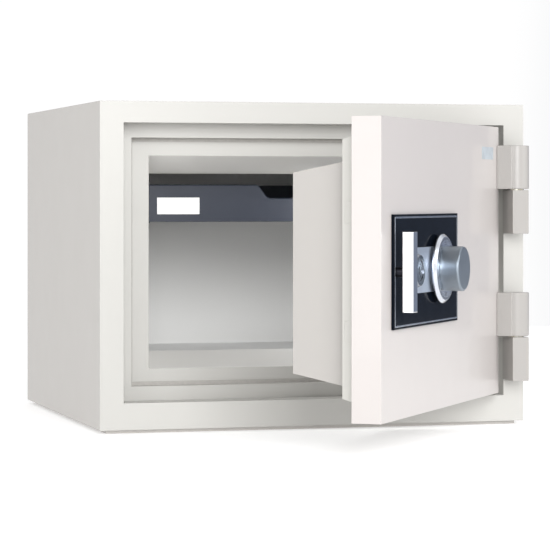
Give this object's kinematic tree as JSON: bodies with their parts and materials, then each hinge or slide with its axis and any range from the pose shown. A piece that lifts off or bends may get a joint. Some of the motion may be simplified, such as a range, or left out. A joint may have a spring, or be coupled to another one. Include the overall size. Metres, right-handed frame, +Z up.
{
  "type": "fire-resistant safe",
  "caption": "Small free-standing fire-resistant safe: ajar stepped door on outside hinges, combination dial, key lock, bar handle, sliding tray inside.",
  "frame": {"origin": "centre of the cabinet's resting face, on the underside of its base plate", "axes": "+X to the right of someone who faces the safe, +Y from the front face into the safe, +Z up; the door is stored 54.5 degrees open, as the picture shows it"},
  "size_m": [0.5, 0.8388, 0.37],
  "materials": {
    "outer_shell": "satin",
    "back_panel": "satin",
    "front_frame": "satin",
    "door_throat": "satin",
    "inner_liner": "satin",
    "cabinet_insulation": "matte",
    "base_plate": "satin",
    "tray_rail_left": "satin",
    "tray_rail_right": "satin",
    "door_seal": "matte",
    "bolt_keepers": "satin",
    "dead_bar_keepers": "satin",
    "upper_hinge_body_leaf": "satin",
    "lower_hinge_body_leaf": "satin",
    "hinge_pins": "satin",
    "hinge_washers": "satin",
    "door_panel": "gloss",
    "door_step_frame": "satin",
    "door_plug_cover": "satin",
    "door_insulation": "matte",
    "plug_insulation": "matte",
    "mechanism_plate": "satin",
    "upper_hinge_door_leaf": "satin",
    "lower_hinge_door_leaf": "satin",
    "hinge_bushes": "satin",
    "lock_panel": "gloss",
    "panel_trim": "satin",
    "escutcheon": "satin",
    "dial_ring": "polished",
    "key_ring": "polished",
    "key_housing": "polished",
    "lock_case": "satin",
    "lock_cover": "satin",
    "wheel_post": "satin",
    "lock_screws": "satin",
    "guide_studs": "satin",
    "dead_bars": "satin",
    "plug_screws": "satin",
    "door_label": "satin",
    "handle_bar": "polished",
    "handle_spindle": "satin",
    "handle_cam": "satin",
    "bolt_carriage": "satin",
    "locking_bolts": "satin",
    "dial_flange": "satin",
    "dial_knob": "satin",
    "dial_spindle": "satin",
    "drive_cam": "satin",
    "combination_wheel_1": "satin",
    "combination_wheel_2": "satin",
    "combination_wheel_3": "satin",
    "fence_lever": "satin",
    "key_plug": "polished",
    "key_cam": "satin",
    "tray": "satin",
    "tray_label": "matte"
  },
  "bodies": {
    "cabinet": {"outer_shell": "outer_shell", "back_panel": "back_panel", "front_frame": "front_frame", "door_throat": "door_throat", "inner_liner": "inner_liner", "cabinet_insulation": "cabinet_insulation", "base_plate": "base_plate", "tray_rail_left": "tray_rail_left", "tray_rail_right": "tray_rail_right", "door_seal": "door_seal", "bolt_keepers": "bolt_keepers", "dead_bar_keepers": "dead_bar_keepers", "upper_hinge_body_leaf": "upper_hinge_body_leaf", "lower_hinge_body_leaf": "lower_hinge_body_leaf", "hinge_pins": "hinge_pins", "hinge_washers": "hinge_washers"},
    "door": {"door_panel": "door_panel", "door_step_frame": "door_step_frame", "door_plug_cover": "door_plug_cover", "door_insulation": "door_insulation", "plug_insulation": "plug_insulation", "mechanism_plate": "mechanism_plate", "upper_hinge_door_leaf": "upper_hinge_door_leaf", "lower_hinge_door_leaf": "lower_hinge_door_leaf", "hinge_bushes": "hinge_bushes", "lock_panel": "lock_panel", "panel_trim": "panel_trim", "escutcheon": "escutcheon", "dial_ring": "dial_ring", "key_ring": "key_ring", "key_housing": "key_housing", "lock_case": "lock_case", "lock_cover": "lock_cover", "wheel_post": "wheel_post", "lock_screws": "lock_screws", "guide_studs": "guide_studs", "dead_bars": "dead_bars", "plug_screws": "plug_screws", "door_label": "door_label"},
    "handle": {"handle_bar": "handle_bar", "handle_spindle": "handle_spindle", "handle_cam": "handle_cam"},
    "bolt_work": {"bolt_carriage": "bolt_carriage", "locking_bolts": "locking_bolts"},
    "dial": {"dial_flange": "dial_flange", "dial_knob": "dial_knob", "dial_spindle": "dial_spindle", "drive_cam": "drive_cam"},
    "wheel_1": {"combination_wheel_1": "combination_wheel_1"},
    "wheel_2": {"combination_wheel_2": "combination_wheel_2"},
    "wheel_3": {"combination_wheel_3": "combination_wheel_3"},
    "fence": {"fence_lever": "fence_lever"},
    "key_lock": {"key_plug": "key_plug", "key_cam": "key_cam"},
    "tray_body": {"tray": "tray", "tray_label": "tray_label"}
  },
  "joints": [
    {"name": "door_swing", "type": "hinge", "parent": "cabinet", "child": "door", "pos_m": [0.234, -0.249, 0.18], "axis": [0, 0, 1], "range_deg": [-54.5, 115.5]},
    {"name": "handle_turn", "type": "hinge", "parent": "door", "child": "handle", "pos_m": [-0.01578, -0.57334, 0.1875], "axis": [0.8141, -0.5807, 0], "range_deg": [0, 90]},
    {"name": "bolt_throw", "type": "slide", "parent": "door", "child": "bolt_work", "axis": [-0.5807, -0.8141, 0], "range_m": [0, 0.02]},
    {"name": "dial_turn", "type": "hinge", "parent": "door", "child": "dial", "pos_m": [0.06755, -0.45652, 0.1875], "axis": [0.8141, -0.5807, 0], "continuous": true},
    {"name": "wheel_1_turn", "type": "hinge", "parent": "door", "child": "wheel_1", "pos_m": [0.0358, -0.43387, 0.1875], "axis": [0.8141, -0.5807, 0], "continuous": true},
    {"name": "wheel_2_turn", "type": "hinge", "parent": "door", "child": "wheel_2", "pos_m": [0.03825, -0.43561, 0.1875], "axis": [0.8141, -0.5807, 0], "continuous": true},
    {"name": "wheel_3_turn", "type": "hinge", "parent": "door", "child": "wheel_3", "pos_m": [0.04069, -0.43735, 0.1875], "axis": [0.8141, -0.5807, 0], "continuous": true},
    {"name": "fence_lift", "type": "hinge", "parent": "door", "child": "fence", "pos_m": [0.02361, -0.45097, 0.2185], "axis": [0.8141, -0.5807, 0], "range_deg": [0, 4]},
    {"name": "key_turn", "type": "hinge", "parent": "door", "child": "key_lock", "pos_m": [0.01848, -0.52531, 0.1875], "axis": [-0.8141, 0.5807, 0], "range_deg": [0, 90]},
    {"name": "tray_slide", "type": "slide", "parent": "cabinet", "child": "tray_body", "axis": [0, -1, 0], "range_m": [0, 0.14]}
  ],
  "couplings": [
    {"joint": "bolt_throw", "follows": "handle_turn", "m_per_rad": 0.01273},
    {"joint": "wheel_1_turn", "follows": "dial_turn", "ratio": 1},
    {"joint": "wheel_2_turn", "follows": "dial_turn", "ratio": 1},
    {"joint": "wheel_3_turn", "follows": "dial_turn", "ratio": 1}
  ]
}
